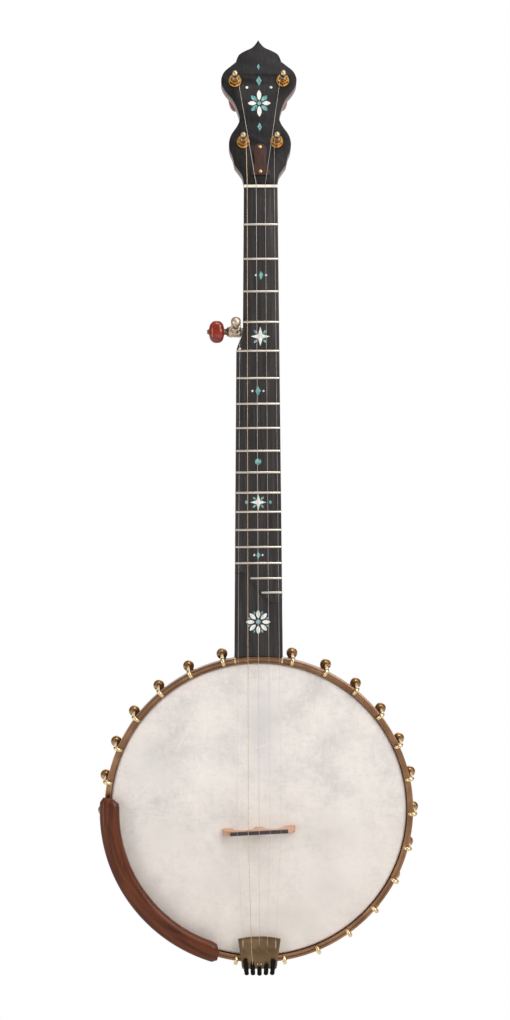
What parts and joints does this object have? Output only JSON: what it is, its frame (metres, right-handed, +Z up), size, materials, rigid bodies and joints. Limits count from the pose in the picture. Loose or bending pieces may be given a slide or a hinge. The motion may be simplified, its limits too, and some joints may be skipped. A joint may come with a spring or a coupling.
{
  "type": "open-back banjo",
  "caption": "Open-back banjo: a skin head stretched over a round rim by a ring of hooks, a fretted neck with a short drone string and geared tuners that turn the string posts",
  "frame": {"origin": "on the pot's centre line, at the edge where the fingerboard meets the nut, on the plane of the fingerboard's face", "axes": "+Z up the neck to the headstock, -Y out of the front of the head, +X to the treble side (right in the picture)"},
  "size_m": [0.3389, 0.1253, 0.974],
  "materials": {
    "walnut": "satin oiled walnut",
    "dark_red_walnut": "polished dark red-brown",
    "ebony": "satin black",
    "rosewood": "polished",
    "maple": "bare satin",
    "bone": "polished off-white",
    "head_skin": "dry translucent skin",
    "aged_bronze": "aged brown",
    "aged_brass": "aged, half bright",
    "nickel": "warm worn plating",
    "string_steel": "bright wire",
    "amber_knob": "polished translucent amber"
  },
  "bodies": {
    "instrument": {"armrest": "dark_red_walnut", "bracket_01": "aged_brass", "bracket_02": "aged_brass", "bracket_03": "aged_brass", "bracket_04": "aged_brass", "bracket_05": "aged_brass", "bracket_06": "aged_brass", "bracket_07": "aged_brass", "bracket_08": "aged_brass", "bracket_09": "aged_brass", "bracket_10": "aged_brass", "bracket_11": "aged_brass", "bracket_12": "aged_brass", "bracket_13": "aged_brass", "bracket_14": "aged_brass", "bracket_15": "aged_brass", "bracket_16": "aged_brass", "bracket_17": "aged_brass", "bracket_18": "aged_brass", "bracket_19": "aged_brass", "bracket_20": "aged_brass", "bracket_21": "aged_brass", "bracket_22": "aged_brass", "bracket_23": "aged_brass", "bracket_24": "aged_brass", "bracket_25": "aged_brass", "bracket_26": "aged_brass", "bridge": "maple", "coordinator_rod": "nickel", "fingerboard": "ebony", "head": "head_skin", "headstock_veneer": "ebony", "neck": "walnut", "nut": "bone", "rim": "walnut", "string_1": "string_steel", "string_2": "string_steel", "string_3": "string_steel", "string_4": "string_steel", "string_5": "string_steel", "tail_hanger": "nickel", "tailpiece": "aged_bronze", "tension_hoop": "aged_bronze", "tone_ring": "aged_brass", "truss_rod_cover": "rosewood", "tuner_1_housing": "nickel", "tuner_2_housing": "nickel", "tuner_3_housing": "nickel", "tuner_4_housing": "nickel", "tuner_5_housing": "nickel"},
    "post_1": {"tuner_1_post": "nickel"},
    "knob_1": {"tuner_1_knob": "amber_knob"},
    "post_2": {"tuner_2_post": "nickel"},
    "knob_2": {"tuner_2_knob": "amber_knob"},
    "post_3": {"tuner_3_post": "nickel"},
    "knob_3": {"tuner_3_knob": "amber_knob"},
    "post_4": {"tuner_4_post": "nickel"},
    "knob_4": {"tuner_4_knob": "amber_knob"},
    "post_5": {"tuner_5_post": "nickel"},
    "knob_5": {"tuner_5_knob": "amber_knob"}
  },
  "joints": [
    {"name": "knob_1_turn", "type": "hinge", "parent": "instrument", "child": "knob_1", "pos_m": [0.0202, 0.05593, 0.03593], "axis": [0, -0.9537, 0.3007], "continuous": true},
    {"name": "post_1_turn", "type": "hinge", "parent": "instrument", "child": "post_1", "pos_m": [0.0202, 0.00586, 0.05172], "axis": [0, -0.9537, 0.3007], "continuous": true},
    {"name": "knob_2_turn", "type": "hinge", "parent": "instrument", "child": "knob_2", "pos_m": [0.02721, 0.07627, 0.10046], "axis": [0, -0.9537, 0.3007], "continuous": true},
    {"name": "post_2_turn", "type": "hinge", "parent": "instrument", "child": "post_2", "pos_m": [0.02721, 0.0262, 0.11625], "axis": [0, -0.9537, 0.3007], "continuous": true},
    {"name": "knob_3_turn", "type": "hinge", "parent": "instrument", "child": "knob_3", "pos_m": [-0.02249, 0.07614, 0.10005], "axis": [0, -0.9537, 0.3007], "continuous": true},
    {"name": "post_3_turn", "type": "hinge", "parent": "instrument", "child": "post_3", "pos_m": [-0.02249, 0.02607, 0.11584], "axis": [0, -0.9537, 0.3007], "continuous": true},
    {"name": "knob_4_turn", "type": "hinge", "parent": "instrument", "child": "knob_4", "pos_m": [-0.0143, 0.05584, 0.03564], "axis": [0, -0.9537, 0.3007], "continuous": true},
    {"name": "post_4_turn", "type": "hinge", "parent": "instrument", "child": "post_4", "pos_m": [-0.0143, 0.00577, 0.05143], "axis": [0, -0.9537, 0.3007], "continuous": true},
    {"name": "knob_5_turn", "type": "hinge", "parent": "instrument", "child": "knob_5", "pos_m": [-0.03, 0.00664, -0.14774], "axis": [1, 0, 0], "continuous": true},
    {"name": "post_5_turn", "type": "hinge", "parent": "instrument", "child": "post_5", "pos_m": [-0.0226, -0.00341, -0.1403], "axis": [0, -0.8039, 0.5948], "continuous": true}
  ],
  "couplings": [
    {"joint": "post_1_turn", "follows": "knob_1_turn", "ratio": 0.25},
    {"joint": "post_2_turn", "follows": "knob_2_turn", "ratio": 0.25},
    {"joint": "post_3_turn", "follows": "knob_3_turn", "ratio": 0.25},
    {"joint": "post_4_turn", "follows": "knob_4_turn", "ratio": 0.25},
    {"joint": "post_5_turn", "follows": "knob_5_turn", "ratio": -0.1}
  ]
}
